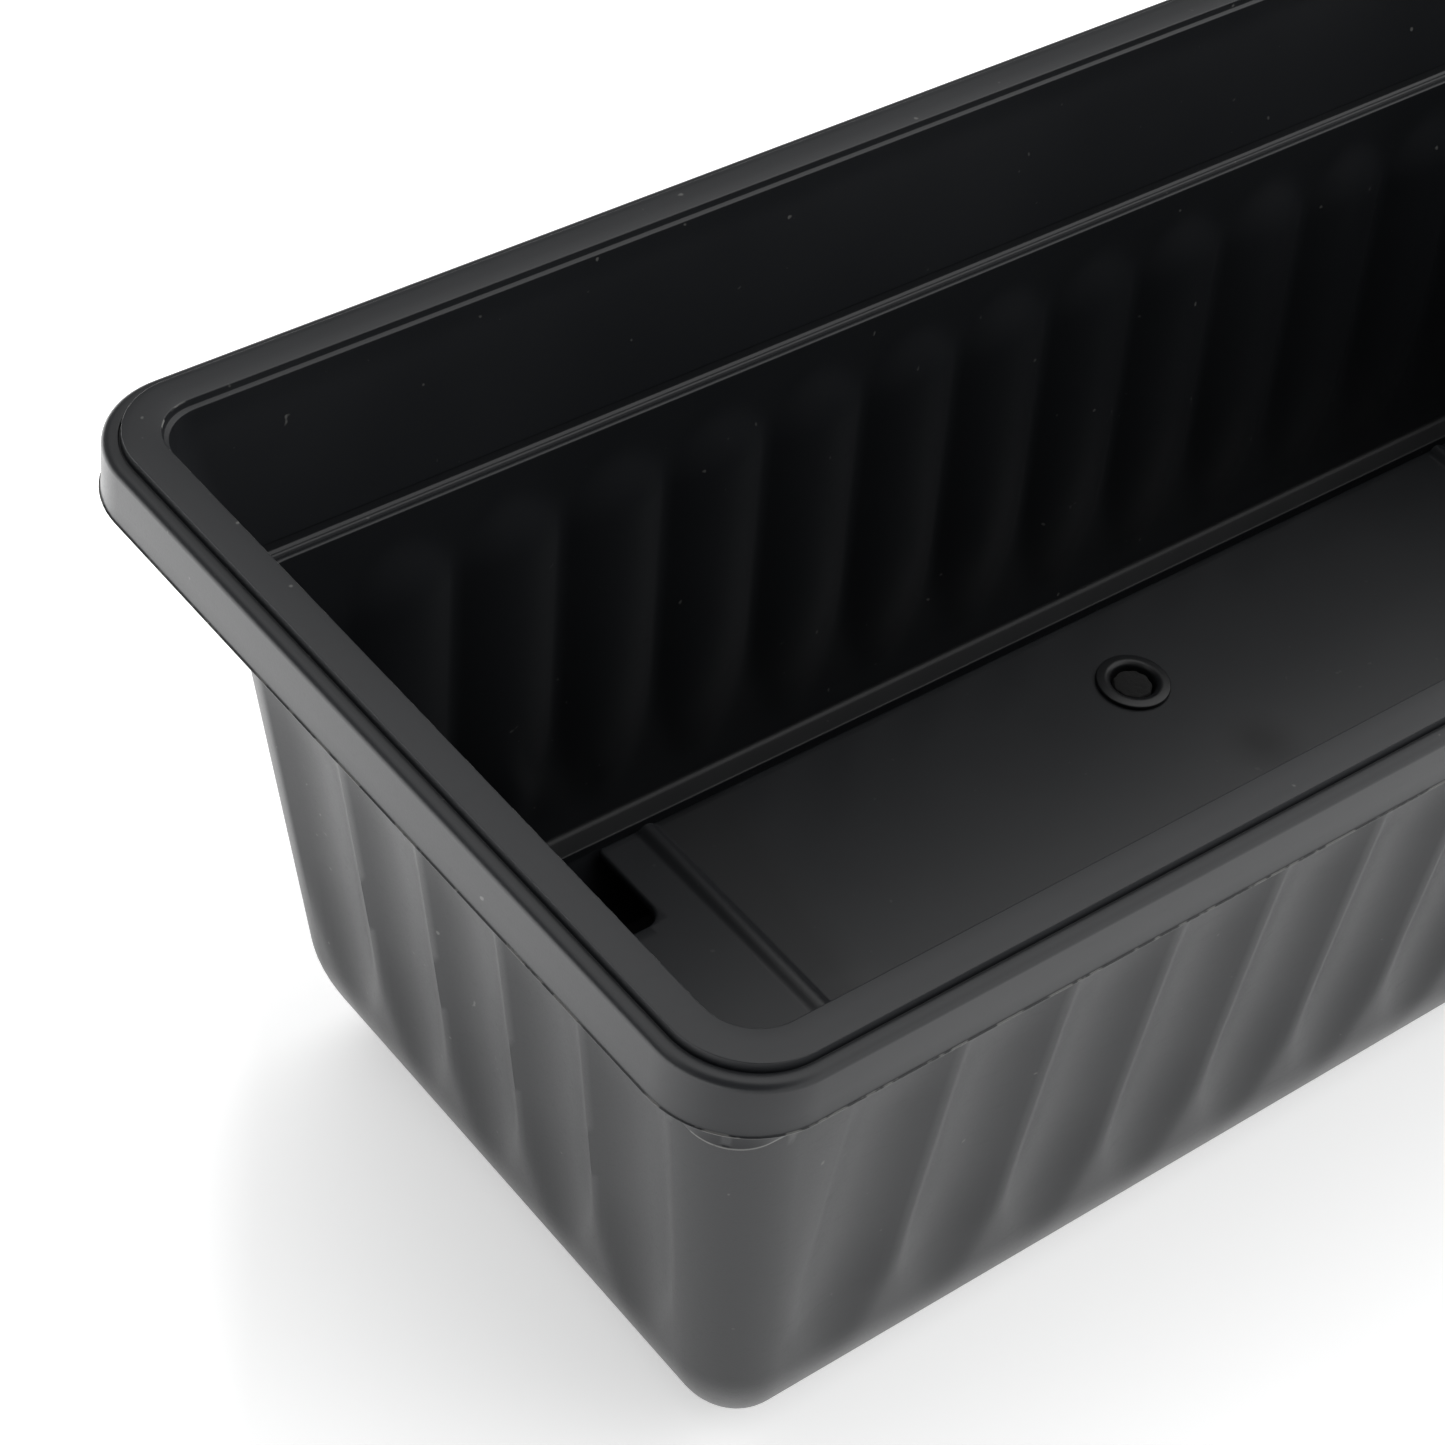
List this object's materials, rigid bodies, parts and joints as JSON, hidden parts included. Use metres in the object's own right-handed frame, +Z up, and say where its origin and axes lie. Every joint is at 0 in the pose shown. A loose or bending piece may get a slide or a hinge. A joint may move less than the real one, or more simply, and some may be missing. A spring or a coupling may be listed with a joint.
{
  "type": "self watering planter",
  "caption": "Long fluted window-box planter with a rolled rim and a lift-out false floor over a shallow water reservoir fed to the soil by fibre wicks.",
  "frame": {"origin": "middle of the underside, on the surface that the planter stands on", "axes": "+Z up, X along the planter, Y across it; the false floor's notch is at the -X, +Y corner"},
  "size_m": [0.4998, 0.2008, 0.166],
  "materials": {
    "box_plastic": "satin charcoal moulded plastic with a fine matte grain",
    "plate_plastic": "slightly glossier charcoal moulded plastic",
    "collar_plastic": "semi-gloss charcoal plastic",
    "wick_fibre": "compressed dark fibre",
    "plug_rubber": "matte black rubber"
  },
  "bodies": {
    "box": {"planter_box": "box_plastic"},
    "false_floor": {"reservoir_plate": "plate_plastic", "wick_collar_rear": "collar_plastic", "wick_collar_front": "collar_plastic", "wick_rear": "wick_fibre", "wick_front": "wick_fibre"},
    "left_plug": {"drain_plug_left": "plug_rubber"},
    "right_plug": {"drain_plug_right": "plug_rubber"}
  },
  "joints": [
    {"name": "false_floor_lift", "type": "slide", "parent": "box", "child": "false_floor", "axis": [0, 0, 1], "range_m": [0, 0.17]},
    {"name": "left_plug_pull", "type": "slide", "parent": "box", "child": "left_plug", "axis": [0, 0, 1], "range_m": [0, 0.007]},
    {"name": "right_plug_pull", "type": "slide", "parent": "box", "child": "right_plug", "axis": [0, 0, 1], "range_m": [0, 0.007]}
  ]
}
